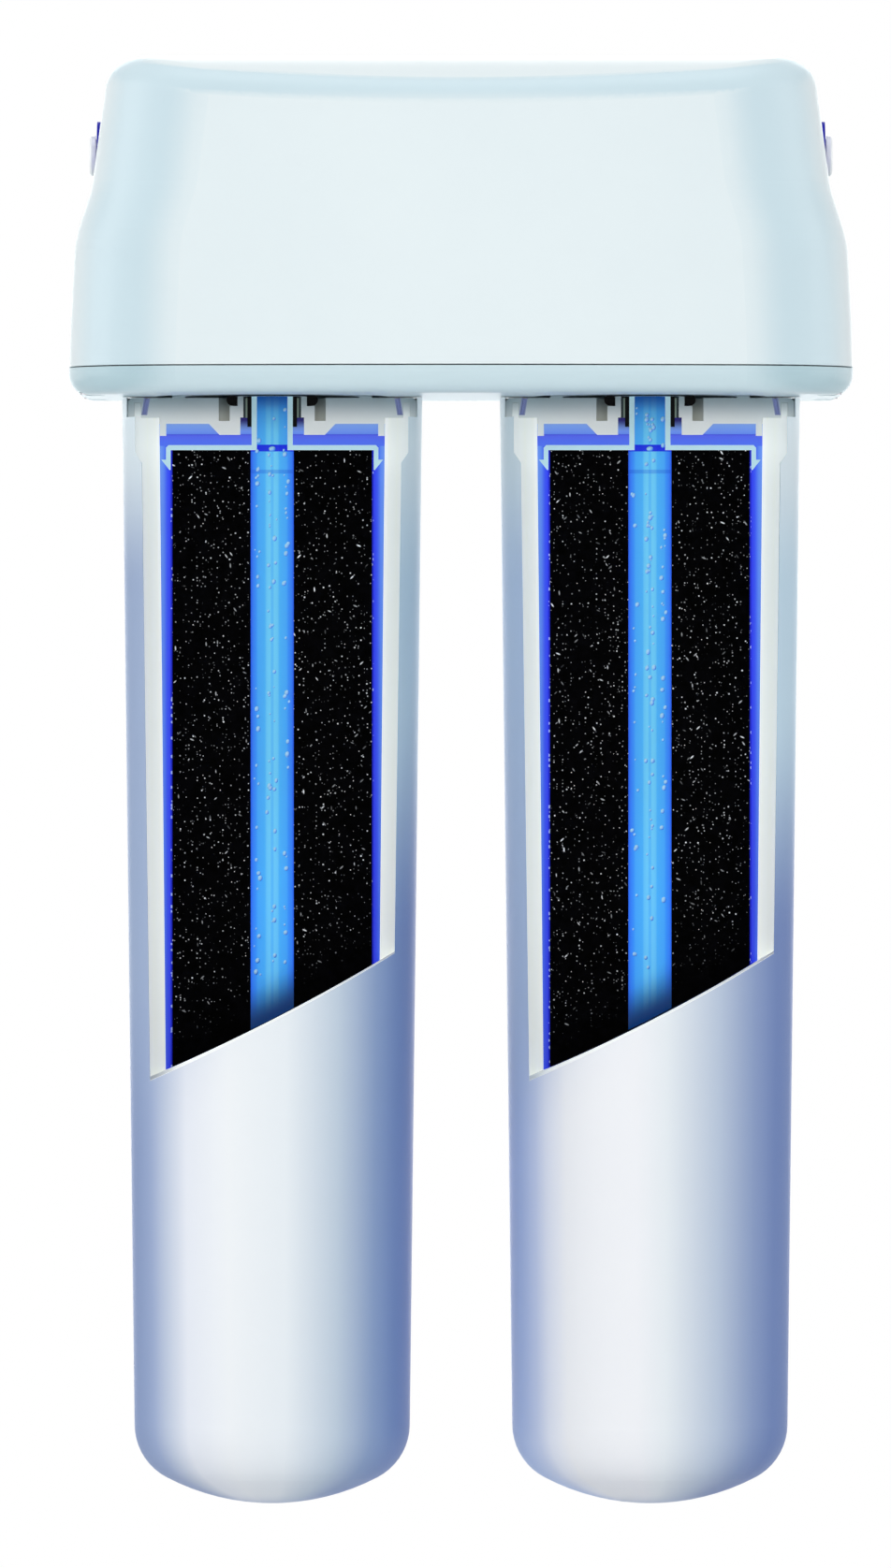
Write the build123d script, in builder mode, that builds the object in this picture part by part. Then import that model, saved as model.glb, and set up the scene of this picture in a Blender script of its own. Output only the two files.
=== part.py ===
from build123d import *
import os
from math import cos, radians, sin

# Twin cartridge water filter for under a sink, shown with its cartridges cut open.
# X runs to the right, Y into the wall and Z up. The origin lies on the wall plane,
# midway between the two wall screws. Heights inside the model are given above the
# underside of the head, and the function level turns them into Z.

# Cartridge places, and how far the head reaches beyond them
cartridge_pitch = 88.9
cartridge_axis_depth = 45.0
head_side_reach = 47.55
head_front_reach = 45.0

# Head, overall
head_height = 79.4
screw_line_height = 52.0
head_wall = 2.5
wall_gap = 0.5
front_bow = 10.0
front_corner_radius = 30.0
top_edge_radius = 8.0
crown_radius = 48.0
crown_run = 30.0
seam_height = 6.4
seam_gap = 0.3
base_floor = 2.5
base_edge_radius = 5.0
overrun = 5.0

# The cover's sides and front lean back as they rise, and the sides draw in at a flare
side_lean = 6.3
front_lean = 4.2
flare_reach = 3.0
flare_bottom = 34.0
flare_top = 52.0
flare_steps = 8

# Fits
slip_gap = 0.05
draft_gap = 0.15
seat_gap = 0.3

# Cartridges
cartridge_length = 260.5
sleeve_radius = 35.3
sleeve_wall = 1.2
sleeve_radius_loss = 3.0
crown_sphere_radius = 53.6
knuckle_radius = 14.0

# Pressure vessel inside the sleeve
vessel_rim_drop = 1.5
vessel_shelf_drop = 5.0
vessel_rim_wall = 1.5
vessel_collar_bottom = 13.4
vessel_collar_step = 1.65
vessel_collar_chamfer = 2.5
vessel_wall = 4.15
vessel_radius_loss = 3.0
vessel_bore_loss = 2.4
vessel_floor = 4.0
vessel_knuckle_radius = 10.0

# Cap of the cartridge
cap_skirt_wall = 1.5
cap_corner = 0.8
cap_plug_wall = 1.5
cap_plug_bottom = 9.25
cap_recess_drop = 6.4
cap_recess_radius = 14.9
cap_boss_radius = 12.4
cap_boss_bottom = 9.0
cap_boss_bore = 7.5
cap_boss_notch = 4.9
slot_radius = 29.0
slot_width = 0.8
slot_lean = 0.7
slot_bottom = 4.2
moat_radius = 12.6
moat_bottom = 5.7
neck_radius = 10.0
neck_passage = 0.95
neck_height = 10.0
neck_ring_cord = 2.6
neck_ring_groove = 1.85
neck_ring_clearance = 0.1
lower_ring_drop = 0.8
upper_ring_height = 5.5

# Twist lock between cap and head
collar_bore = 20.5
collar_wall = 3.0
collar_height = 14.0
lock_turn = 75.0
lock_drop = 6.0
lug_count = 3
lug_angle = 35.0
lug_reach = 3.0
lug_thickness = 3.0
lug_height = 8.0
lug_overlap = 0.2
lock_clearance = 0.7
ledge_play = 0.25
ledge_thickness = 2.6
ledge_angle = 80.0
ledge_lead_in = 25.0
stop_angle = 4.0
stop_height = 3.2
socket_wall = 3.0
socket_height = 16.0
key_width = 5.0
key_depth = 1.5
key_gap = 0.2
key_slot_bottom = 2.0

# Filter block and its end caps
block_radius = 23.5
block_bore = 5.07
block_top = 12.6
block_bottom = 241.0
wrap_thickness = 0.35
end_plate = 1.2
end_skirt_wall = 1.1
end_skirt_bottom = 17.25
barb_reach = 1.1
barb_height = 2.4
barb_tip = 0.3
tube_radius = 4.85
tube_bore = 3.6
tube_height = 18.0
seal_wall = 1.0
seal_bottom = 7.1
seal_height = 17.0
foot_plate = 2.0
foot_spigot = 6.0
foot_ring_radius = 10.0
foot_ring_wall = 2.0

# Cutaway window in front of each cartridge, with the sleeve trimmed to cover the vessel's edge
window_margin = 0.15
sleeve_side_trim = 0.35
sleeve_edge_trim = 0.5
window_left_bottom = 160.2
window_middle_bottom = 146.5
window_right_bottom = 130.3

# Valve bodies inside the head
drum_radius = 20.0
drum_top = 66.7
flange_thickness = 3.2
hub_bottom = 1.0
hub_wall = 1.1
hub_gap = 1.0
hub_lip = 0.35
hub_lip_height = 1.6
chamber_top = 12.0
pocket_top = 20.0
duct_radius = 3.0
side_duct_radius = 2.2
side_duct_offset = 8.4
port_height = 56.7
port_boss_radius = 9.5
crossover_height = 34.0
crossover_radius = 6.0
crossover_bore = 3.3
crossover_boss_radius = 9.0
crossover_boss_length = 4.5
crossover_depth = 8.0
crossover_ring_cord = 1.4
crossover_ring_inset = 4.0
web_width = 12.0
web_bottom = 26.0
web_top = 62.0

# Valve rotors, one above each cartridge
rotor_bottom = 3.0
rotor_outer_gap = 0.3
rotor_top_gap = 0.4
rotor_bore_gap = 0.05
rotor_ring_cord = 1.8
rotor_ring_height = 9.0

# Push fit ports for 6.35 mm tube
port_sink = 7.6
port_body_length = 14.45
port_radius = 8.4
port_hole_gap = 0.4
clip_way = 10.0
spigot_radius = 6.0
spigot_length = 8.0
spigot_bore = 2.6
tube_seat_radius = 3.3
tube_seat_length = 4.5
mouth_radius = 5.2
mouth_depth = 12.0
port_ring_cord = 1.78
port_ring_gap = 0.1
insert_depth = 9.4
insert_sink = 0.3
insert_wall = 1.05
collet_flange_radius = 4.76
collet_flange = 1.4
collet_neck_gap = 0.1
collet_neck_length = 10.4
collet_edge = 0.4
clip_radius = 8.0
clip_thickness = 0.9
clip_seat_gap = 0.3
clip_play = 0.35
clip_neck_gap = 0.15

# Back plate and fasteners
plate_thickness = 4.0
plate_edge_gap = 0.3
keyhole_reach = 17.55
keyhole_radius = 4.5
keyhole_slot_radius = 2.3
keyhole_slot_rise = 9.0
screw_radius = 1.45
screw_head_radius = 2.8
screw_head_height = 2.0
screw_clearance = 0.25
screw_bite = 8.0
head_sink = 0.2
boss_wall = 2.2
flange_screw_radius = 32.5
flange_screw_count = 3
cover_boss_height = 18.0
cover_screw_inset = 5.5
rear_screw_depth = 14.0
front_screw_inset = 32.0
plate_screw_low = 30.0
plate_screw_high = 58.0

# Places and sizes that follow from the ones above
half_pitch = cartridge_pitch / 2
axis_y = -cartridge_axis_depth
head_width = cartridge_pitch + head_side_reach * 2
head_depth = cartridge_axis_depth + head_front_reach
port_face = head_width / 2 - port_sink
port_seat = port_face - port_body_length
keyhole_spacing = cartridge_pitch + keyhole_reach * 2
head_bottom = -screw_line_height
sleeve_bore = sleeve_radius - sleeve_wall
cap_radius = sleeve_bore - draft_gap
collar_step_radius = cap_radius - cap_skirt_wall - slip_gap
vessel_radius = collar_step_radius - vessel_collar_step
vessel_bore = vessel_radius - vessel_wall
rim_bore = collar_step_radius - vessel_rim_wall
plug_radius = vessel_bore - draft_gap
wrap_radius = block_radius + wrap_thickness
end_skirt_bore = wrap_radius + slip_gap
end_cap_radius = end_skirt_bore + end_skirt_wall
seal_radius = tube_radius + seal_wall
neck_bore = seal_radius + neck_passage
collar_radius = collar_bore + collar_wall
lug_tip_radius = collar_radius + lug_reach
ledge_radius = collar_radius + lock_clearance
socket_bore = lug_tip_radius + lock_clearance
socket_radius = socket_bore + socket_wall
hub_bore = neck_radius + hub_gap
hub_radius = hub_bore + hub_wall
rotor_bore = hub_radius + rotor_bore_gap
rotor_radius = collar_bore - rotor_outer_gap
key_radius = rotor_radius + key_depth
lock_lead = lock_drop * 360 / lock_turn
lock_rise_per_degree = lock_drop / lock_turn
seat_radius = sleeve_radius - sleeve_radius_loss
side_ports = {"left": -1, "right": 1}
port_names = {"left": "inlet", "right": "outlet"}
clip_face = port_face + clip_seat_gap + clip_thickness
collet_face = clip_face + clip_play
collet_tip = collet_face + collet_flange
collet_neck = mouth_radius - insert_wall - collet_neck_gap
screw_hole = screw_radius + screw_clearance
screw_boss = screw_radius + boss_wall
head_pocket = screw_head_height + head_sink


def level(height):
    """Z of a height above the underside of the head."""
    return head_bottom + height


def save(piece, name):
    """Name a finished piece and write it."""
    piece.part.label = name
    export_step(piece.part, f"parts/{name}.step")


def cartridge_section(x):
    """Plane through a cartridge's axis: local X is the radius, local Y the height."""
    return Plane(origin=(x, axis_y, head_bottom), x_dir=(1, 0, 0), z_dir=(0, -1, 0))


def cartridge_spin(x):
    return Axis((x, axis_y, head_bottom), (0, 0, 1))


def turned(x, points, mode=Mode.ADD):
    """Turn a closed outline of radius and height about a cartridge's axis."""
    with BuildSketch(cartridge_section(x)) as profile:
        with BuildLine():
            Polyline(*points, close=True)
        make_face()
    revolve(profile.sketch, axis=cartridge_spin(x), mode=mode)


def side_section(direction):
    """Plane at a port's axis: local X runs outward from the head's middle."""
    return Plane(origin=(0, axis_y, level(port_height)), x_dir=(direction, 0, 0), z_dir=(0, -direction, 0))


def port_turned(direction, points, mode=Mode.ADD):
    """Turn a closed outline of distance and radius about a port's axis."""
    with BuildSketch(side_section(direction)) as profile:
        with BuildLine():
            Polyline(*points, close=True)
        make_face()
    revolve(profile.sketch, axis=Axis((0, axis_y, level(port_height)), (1, 0, 0)), mode=mode)


def ring(plane, radius, cord):
    """A round seal of the given middle radius and cord about the plane's Z."""
    centre = plane.from_local_coords((radius, 0, 0))
    with BuildSketch(Plane(centre, x_dir=plane.x_dir, z_dir=plane.y_dir)) as section:
        Circle(cord / 2)
    revolve(section.sketch, axis=Axis(plane.origin, plane.z_dir))


# Outline of the head

def head_plan(height, inset, back):
    """Plan of the head at one height: flat back, bowed front and round front corners."""
    rise = height / head_height
    flare = min(max((height - flare_bottom) / (flare_top - flare_bottom), 0), 1)
    draw_in = flare_reach * flare * flare * (3 - 2 * flare)
    half_width = head_width / 2 - side_lean * rise**2 - draw_in - inset
    depth = head_depth - front_lean * rise**2 - inset
    shoulder = front_bow - depth
    with BuildSketch(Plane.XY.offset(level(height))) as plan:
        with BuildLine():
            Polyline(
                (-half_width, shoulder),
                (-half_width, -back),
                (half_width, -back),
                (half_width, shoulder),
            )
            ThreePointArc((half_width, shoulder), (0, -depth), (-half_width, shoulder))
        make_face()
        fillet(plan.vertices().group_by(Axis.Y)[0], front_corner_radius - inset)
    return plan.sketch


def head_form(inset, back, bottom, edge_radius):
    """The cover's outer form, or with an inset the space inside its wall."""
    flare_rise = (flare_top - flare_bottom) / flare_steps
    heights = [bottom, flare_bottom / 2] + [flare_bottom + i * flare_rise for i in range(flare_steps + 1)]
    roof = head_height - inset
    crown_start = crown_run - head_depth
    crown_drop = crown_radius - (crown_radius**2 - crown_run**2) ** 0.5
    middle_drop = crown_radius - (crown_radius**2 - (crown_run / 2) ** 2) ** 0.5
    with BuildPart() as form:
        loft([head_plan(height, inset, back) for height in heights + [head_height]], ruled=True)
        with BuildSketch(Plane.YZ.offset(-head_width)):
            with BuildLine():
                ThreePointArc(
                    (crown_start, level(roof)),
                    (crown_start - crown_run / 2, level(roof - middle_drop)),
                    (-head_depth, level(roof - crown_drop)),
                )
                Polyline(
                    (-head_depth, level(roof - crown_drop)),
                    (-head_depth, level(-overrun)),
                    (overrun, level(-overrun)),
                    (overrun, level(roof)),
                    (crown_start, level(roof)),
                )
            make_face()
        extrude(amount=head_width * 2, mode=Mode.INTERSECT)
        if edge_radius:
            top = form.faces().filter_by(lambda face: face.normal_at().Z > 0.5)
            rim = [edge for edge in top.edges() if len([f for f in top if edge in f.edges()]) == 1]
            fillet([edge for edge in rim if edge.center().Y < -back - slip_gap], edge_radius)
    return form.part


def port_hole(radius, direction):
    """Cut the cover's side at a port: round below, with a way up for the locking clip."""
    start = Plane(side_section(direction).origin, x_dir=(0, 1, 0), z_dir=(direction, 0, 0))
    with BuildSketch(start) as hole:
        Circle(radius)
        with Locations((0, clip_way / 2 * start.y_dir.Z)):
            Rectangle(radius * 2, clip_way)
    extrude(hole.sketch, amount=head_width, mode=Mode.SUBTRACT)


def cylinder_at(x, y, low, high, radius, mode=Mode.ADD):
    """Upright round bar between two heights above the head's underside."""
    with BuildSketch(Plane((x, y, level(low)))) as section:
        Circle(radius)
    extrude(section.sketch, amount=high - low, mode=mode)


def bar_along_x(y, height, start, end, radius, mode=Mode.ADD):
    """Round bar lying along X between two distances from the head's middle."""
    with BuildSketch(Plane((start, y, level(height)), x_dir=(0, 1, 0), z_dir=(1, 0, 0))) as section:
        Circle(radius)
    extrude(section.sketch, amount=end - start, mode=mode)


def helical_bar(x, start_height, angle, inner_radius, outer_radius, thickness):
    """One ledge or lug of the twist lock, a rectangle swept up a helix from the X direction."""
    radius = (inner_radius + outer_radius) / 2
    foot = (x, axis_y, level(start_height))
    with BuildPart() as bar:
        with BuildLine() as track:
            path = Helix(pitch=lock_lead, height=lock_lead * angle / 360, radius=radius, center=foot)
        with BuildSketch(Plane(path @ 0, x_dir=(1, 0, 0), z_dir=path % 0)) as section:
            Rectangle(outer_radius - inner_radius, thickness)
        sweep(section.sketch, path=track.line, is_frenet=True)
    return bar.part


def lug_directions():
    """Middle angles of the lugs at rest, locked."""
    return [90 + 360 * i / lug_count for i in range(lug_count)]


def flange_screw_places(x):
    """Places of the screws that hold a valve body on its socket, the first one outermost."""
    first = 0 if x > 0 else 180
    turns = [first + 360 * i / flange_screw_count for i in range(flange_screw_count)]
    return [
        (x + flange_screw_radius * cos(radians(turn)), axis_y + flange_screw_radius * sin(radians(turn)))
        for turn in turns
    ]


def cover_screw_places():
    x = head_width / 2 - cover_screw_inset
    depths = (rear_screw_depth, head_depth - front_screw_inset)
    return [(side * x, -depth) for side in (-1, 1) for depth in depths]


def plate_screw_places():
    heights = (plate_screw_low, plate_screw_high)
    return [(side * half_pitch, level(height)) for side in (-1, 1) for height in heights]


# Head

def make_head_cover():
    with BuildPart() as head_cover:
        add(head_form(0, wall_gap, seam_height + seam_gap, top_edge_radius))
        add(head_form(head_wall, -overrun, -overrun, 0), mode=Mode.SUBTRACT)
        for x, y in cover_screw_places():
            cylinder_at(x, y, seam_height + seam_gap, cover_boss_height, screw_boss)
        for x, y in cover_screw_places():
            cylinder_at(x, y, 0, cover_boss_height - head_wall, screw_radius + slip_gap, Mode.SUBTRACT)
        for direction in side_ports.values():
            port_hole(port_radius + port_hole_gap, direction)
    save(head_cover, "head_cover")


def make_head_base():
    ledge_top = lug_height - ledge_play
    with BuildPart() as head_base:
        with BuildSketch(Plane.XY.offset(head_bottom)):
            add(head_plan(0, 0, wall_gap))
        extrude(amount=seam_height)
        rim = head_base.edges().group_by(Axis.Z)[0].filter_by(lambda edge: edge.center().Y < -head_wall)
        fillet(rim, base_edge_radius)
        with BuildSketch(Plane.XY.offset(level(base_floor))):
            add(head_plan(0, head_wall + base_edge_radius / 2, wall_gap + head_wall))
        extrude(amount=seam_height, mode=Mode.SUBTRACT)
        for x in (-half_pitch, half_pitch):
            cylinder_at(x, axis_y, 0, socket_height, socket_radius)
            for screw_x, screw_y in flange_screw_places(x):
                cylinder_at(screw_x, screw_y, base_floor / 2, socket_height, screw_boss)
        for x, y in cover_screw_places():
            cylinder_at(x, y, base_floor / 2, seam_height, screw_boss + slip_gap)
        for x in (-half_pitch, half_pitch):
            cylinder_at(x, axis_y, -overrun, socket_height + overrun, socket_bore, Mode.SUBTRACT)
            for screw_x, screw_y in flange_screw_places(x):
                cylinder_at(
                    screw_x,
                    screw_y,
                    socket_height - screw_bite,
                    socket_height + overrun,
                    screw_radius + slip_gap,
                    Mode.SUBTRACT,
                )
            low_angle = ledge_angle - ledge_lead_in
            stop_from = ledge_lead_in - stop_angle
            ledge_start = ledge_top - low_angle * lock_rise_per_degree - ledge_thickness / 2
            stop_start = ledge_top + stop_from * lock_rise_per_degree + stop_height / 2
            outside = socket_bore + lug_overlap
            ledge = helical_bar(x, ledge_start, ledge_angle, ledge_radius, outside, ledge_thickness)
            stop = helical_bar(x, stop_start, stop_angle, ledge_radius, outside, stop_height)
            for middle in lug_directions():
                add(ledge.rotate(cartridge_spin(x), middle - low_angle))
                add(stop.rotate(cartridge_spin(x), middle + stop_from))
        for x, y in cover_screw_places():
            cylinder_at(x, y, -overrun, seam_height + overrun, screw_hole, Mode.SUBTRACT)
            cylinder_at(x, y, -overrun, head_pocket, screw_head_radius + screw_clearance, Mode.SUBTRACT)
    save(head_base, "head_base")


def make_back_plate():
    edge = head_wall + plate_edge_gap
    with BuildPart() as back_plate:
        add(head_form(edge, 0, seam_height + seam_gap, 0))
        with BuildSketch(Plane.XZ):
            Rectangle(head_width * 2, head_height * 2)
        extrude(amount=plate_thickness, mode=Mode.INTERSECT)
        with BuildSketch(Plane.XZ) as keyholes:
            for side in (-1, 1):
                x = side * keyhole_spacing / 2
                with Locations((x, 0)):
                    Circle(keyhole_radius)
                with Locations((x, keyhole_slot_rise / 2)):
                    Rectangle(keyhole_slot_radius * 2, keyhole_slot_rise)
                with Locations((x, keyhole_slot_rise)):
                    Circle(keyhole_slot_radius)
        extrude(keyholes.sketch, amount=plate_thickness * 2, both=True, mode=Mode.SUBTRACT)
        with BuildSketch(Plane.XZ) as screws:
            with Locations(*plate_screw_places()):
                Circle(screw_hole)
        extrude(screws.sketch, amount=plate_thickness * 2, both=True, mode=Mode.SUBTRACT)
        with BuildSketch(Plane.XZ) as heads:
            with Locations(*plate_screw_places()):
                Circle(screw_head_radius + screw_clearance)
        extrude(heads.sketch, amount=head_pocket, mode=Mode.SUBTRACT)
    save(back_plate, "back_plate")


def make_valve_body(name, side, port_feeds_outside):
    """Moulded body above one cartridge, with the ways to its port and to the crossover."""
    x = side * half_pitch
    outer_end = side * port_seat
    inner_end = side * (half_pitch - drum_radius - crossover_boss_length)
    side_duct_x = x + side * side_duct_offset * (1 if port_feeds_outside else -1)
    port_target = side_duct_x if port_feeds_outside else x
    crossover_target = x if port_feeds_outside else side_duct_x
    side_duct_top = port_height if port_feeds_outside else crossover_height
    middle_duct_top = crossover_height if port_feeds_outside else port_height
    web_middle = (x, -plate_thickness, level((web_bottom + web_top) / 2))
    spigot_end = outer_end - side * spigot_length
    tube_end = inner_end + side * crossover_depth
    past_port = outer_end + side * overrun
    past_crossover = inner_end - side * overrun
    spigot_hole = spigot_radius + slip_gap
    tube_hole = crossover_radius + slip_gap
    side_duct_bottom = chamber_top - slip_gap
    with BuildPart() as valve_body:
        cylinder_at(x, axis_y, socket_height, drum_top, drum_radius)
        cylinder_at(x, axis_y, socket_height, socket_height + flange_thickness, socket_radius)
        for screw_x, screw_y in flange_screw_places(x):
            cylinder_at(screw_x, screw_y, socket_height, socket_height + flange_thickness, screw_boss)
        cylinder_at(x, axis_y, hub_bottom, socket_height, hub_radius)
        cylinder_at(x, axis_y, hub_bottom, hub_bottom + hub_lip_height, hub_radius + hub_lip)
        bar_along_x(axis_y, port_height, x, outer_end, port_boss_radius)
        bar_along_x(axis_y, crossover_height, inner_end, x, crossover_boss_radius)
        with BuildSketch(Plane(web_middle, x_dir=(1, 0, 0), z_dir=(0, -1, 0))) as web:
            Rectangle(web_width, web_top - web_bottom)
        extrude(web.sketch, amount=cartridge_axis_depth - plate_thickness)
        cylinder_at(x, axis_y, 0, chamber_top, hub_bore, Mode.SUBTRACT)
        cylinder_at(x, axis_y, 0, pocket_top, seal_radius + slip_gap, Mode.SUBTRACT)
        cylinder_at(x, axis_y, 0, middle_duct_top, duct_radius, Mode.SUBTRACT)
        cylinder_at(side_duct_x, axis_y, side_duct_bottom, side_duct_top, side_duct_radius, Mode.SUBTRACT)
        bar_along_x(axis_y, port_height, port_target, past_port, duct_radius, Mode.SUBTRACT)
        bar_along_x(axis_y, port_height, spigot_end, past_port, spigot_hole, Mode.SUBTRACT)
        bar_along_x(axis_y, port_height, outer_end, past_port, port_boss_radius, Mode.SUBTRACT)
        bar_along_x(axis_y, crossover_height, past_crossover, crossover_target, duct_radius, Mode.SUBTRACT)
        bar_along_x(axis_y, crossover_height, past_crossover, tube_end, tube_hole, Mode.SUBTRACT)
        for screw_x, screw_y in flange_screw_places(x):
            cylinder_at(screw_x, screw_y, 0, drum_top, screw_hole, Mode.SUBTRACT)
        with BuildSketch(Plane.XZ.offset(plate_thickness)) as screws:
            with Locations(*[place for place in plate_screw_places() if place[0] * side > 0]):
                Circle(screw_radius + slip_gap)
        extrude(screws.sketch, amount=screw_bite, mode=Mode.SUBTRACT)
    save(valve_body, name)


def make_crossover():
    reach = half_pitch - drum_radius - crossover_boss_length + crossover_depth - seat_gap
    past_end = reach + overrun
    ring_x = reach - crossover_ring_inset
    groove = crossover_ring_cord + slip_gap
    with BuildPart() as crossover_tube:
        bar_along_x(axis_y, crossover_height, -reach, reach, crossover_radius)
        for side in (-1, 1):
            groove_start = (side * ring_x - crossover_ring_cord / 2, axis_y, level(crossover_height))
            with BuildSketch(Plane(groove_start, x_dir=(0, 1, 0), z_dir=(1, 0, 0))) as band:
                Circle(crossover_radius + overrun)
                Circle(crossover_radius - groove, mode=Mode.SUBTRACT)
            extrude(band.sketch, amount=crossover_ring_cord, mode=Mode.SUBTRACT)
        bar_along_x(axis_y, crossover_height, -past_end, past_end, crossover_bore, Mode.SUBTRACT)
    save(crossover_tube, "crossover_tube")
    with BuildPart() as crossover_seals:
        for side in (-1, 1):
            centre = (side * ring_x, axis_y, level(crossover_height))
            plane = Plane(centre, x_dir=(0, 1, 0), z_dir=(1, 0, 0))
            ring(plane, crossover_radius - groove + crossover_ring_cord / 2, crossover_ring_cord)
    save(crossover_seals, "crossover_seals")


def screw_set(name, places):
    """A set of pan head screws: each place is the plane under its head, facing along the shank."""
    with BuildPart() as screws:
        for plane, grip in places:
            with BuildSketch(plane) as shank:
                Circle(screw_radius)
            extrude(shank.sketch, amount=grip)
            with BuildSketch(plane) as head:
                Circle(screw_head_radius)
            extrude(head.sketch, amount=-screw_head_height)
    save(screws, name)


def make_screws():
    downward = []
    for x in (-half_pitch, half_pitch):
        for screw_x, screw_y in flange_screw_places(x):
            seat = Plane((screw_x, screw_y, level(socket_height + flange_thickness)), z_dir=(0, 0, -1))
            downward.append((seat, flange_thickness + screw_bite - seat_gap))
    screw_set("valve_screws", downward)
    cover_grip = cover_boss_height - head_pocket - overrun
    upward = []
    for x, y in cover_screw_places():
        upward.append((Plane((x, y, level(head_pocket)), z_dir=(0, 0, 1)), cover_grip))
    screw_set("cover_screws", upward)
    forward = []
    for x, z in plate_screw_places():
        forward.append((Plane((x, -head_pocket, z), z_dir=(0, -1, 0)), screw_bite))
    screw_set("plate_screws", forward)


def make_rotor(side_name, side):
    """Shut-off ring that the cartridge's collar turns, with its seal on the hub."""
    x = side * half_pitch
    top = socket_height - rotor_top_gap
    groove = rotor_ring_cord + slip_gap
    with BuildPart() as rotor:
        turned(x, [
            (rotor_bore, rotor_bottom),
            (rotor_radius, rotor_bottom),
            (rotor_radius, top),
            (rotor_bore, top),
            (rotor_bore, rotor_ring_height + groove / 2),
            (rotor_bore + groove, rotor_ring_height + groove / 2),
            (rotor_bore + groove, rotor_ring_height - groove / 2),
            (rotor_bore, rotor_ring_height - groove / 2),
        ])
        with BuildSketch(Plane((x, axis_y, level(rotor_bottom + key_gap)))) as keys:
            for middle in lug_directions():
                with Locations(Rotation(0, 0, middle)):
                    with Locations((rotor_radius, 0)):
                        Rectangle(key_depth * 2, key_width)
        extrude(keys.sketch, amount=collar_height - rotor_bottom - key_gap)
    save(rotor, f"{side_name}_rotor")
    with BuildPart() as rotor_seal:
        plane = Plane((x, axis_y, level(rotor_ring_height)))
        ring(plane, rotor_bore + slip_gap + rotor_ring_cord / 2, rotor_ring_cord)
    save(rotor_seal, f"{side_name}_rotor_seal")


def make_port(name, direction):
    """Push fit port: body, seal, insert, collet and the locking clip under the collet."""
    spigot_end = port_seat - spigot_length + seat_gap
    seat_start = port_face - mouth_depth - tube_seat_length
    with BuildPart() as fitting:
        port_turned(direction, [
            (spigot_end, spigot_bore),
            (spigot_end, spigot_radius),
            (port_seat, spigot_radius),
            (port_seat, port_radius),
            (port_face, port_radius),
            (port_face, mouth_radius),
            (port_face - mouth_depth, mouth_radius),
            (port_face - mouth_depth, tube_seat_radius),
            (seat_start, tube_seat_radius),
            (seat_start, spigot_bore),
        ])
    save(fitting, f"{name}_fitting")
    with BuildPart() as insert:
        port_turned(direction, [
            (port_face - insert_sink, mouth_radius - insert_wall),
            (port_face - insert_sink, mouth_radius - slip_gap),
            (port_face - insert_depth, mouth_radius - slip_gap),
            (port_face - insert_depth, mouth_radius - insert_wall),
        ])
    save(insert, f"{name}_insert")
    with BuildPart() as seal:
        seal_x = direction * (port_face - mouth_depth + seat_gap + port_ring_cord / 2)
        plane = Plane((seal_x, axis_y, level(port_height)), x_dir=(0, 1, 0), z_dir=(1, 0, 0))
        ring(plane, tube_seat_radius + port_ring_gap + port_ring_cord / 2, port_ring_cord)
    save(seal, f"{name}_seal")
    with BuildPart() as collet:
        port_turned(direction, [
            (collet_face - collet_neck_length, tube_seat_radius),
            (collet_face - collet_neck_length, collet_neck),
            (collet_face, collet_neck),
            (collet_face, collet_flange_radius),
            (collet_tip - collet_edge, collet_flange_radius),
            (collet_tip, collet_flange_radius - collet_edge),
            (collet_tip, tube_seat_radius),
        ])
    save(collet, f"{name}_collet")
    with BuildPart() as clip:
        clip_plane = Plane(
            (direction * (clip_face - clip_thickness), axis_y, level(port_height)),
            x_dir=(0, 1, 0),
            z_dir=(direction, 0, 0),
        )
        with BuildSketch(clip_plane) as outline:
            Circle(clip_radius)
            neck = collet_neck + clip_neck_gap
            with Locations((0, -clip_radius / 2 * clip_plane.y_dir.Z)):
                Rectangle(neck * 2, clip_radius, mode=Mode.SUBTRACT)
            Circle(neck, mode=Mode.SUBTRACT)
        extrude(outline.sketch, amount=clip_thickness)
    save(clip, f"{name}_clip")


# Cartridges

def window_half_width(drop, margin):
    """Half the width of the cutaway at a drop below the head: the vessel's outline and a margin."""
    taper = vessel_radius_loss / (block_bottom - vessel_collar_bottom)
    return vessel_radius - taper * (drop - vessel_collar_bottom) + margin


def window_cut(x, margin, edge_trim):
    """The space cut away in front of a cartridge's middle plane, down to a slanted edge."""
    left = window_half_width(window_left_bottom, margin)
    right = window_half_width(window_right_bottom, margin)
    shoulder = vessel_collar_bottom + vessel_collar_chamfer
    steps = [
        (vessel_radius + margin, -shoulder),
        (collar_step_radius + margin, -vessel_collar_bottom),
        (collar_step_radius + margin, -vessel_shelf_drop),
        (sleeve_bore, -vessel_shelf_drop),
        (sleeve_bore, 0),
    ]
    left_end = (-left, -window_left_bottom - edge_trim)
    right_end = (right, -window_right_bottom - edge_trim)
    with BuildPart() as cutter:
        with BuildSketch(cartridge_section(x)):
            with BuildLine():
                Polyline(
                    left_end,
                    *[(-radius, height) for radius, height in steps],
                    *[(radius, height) for radius, height in reversed(steps)],
                    right_end,
                )
                ThreePointArc(right_end, (0, -window_middle_bottom - edge_trim), left_end)
            make_face()
        extrude(amount=sleeve_radius + overrun)
    return cutter.part


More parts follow.
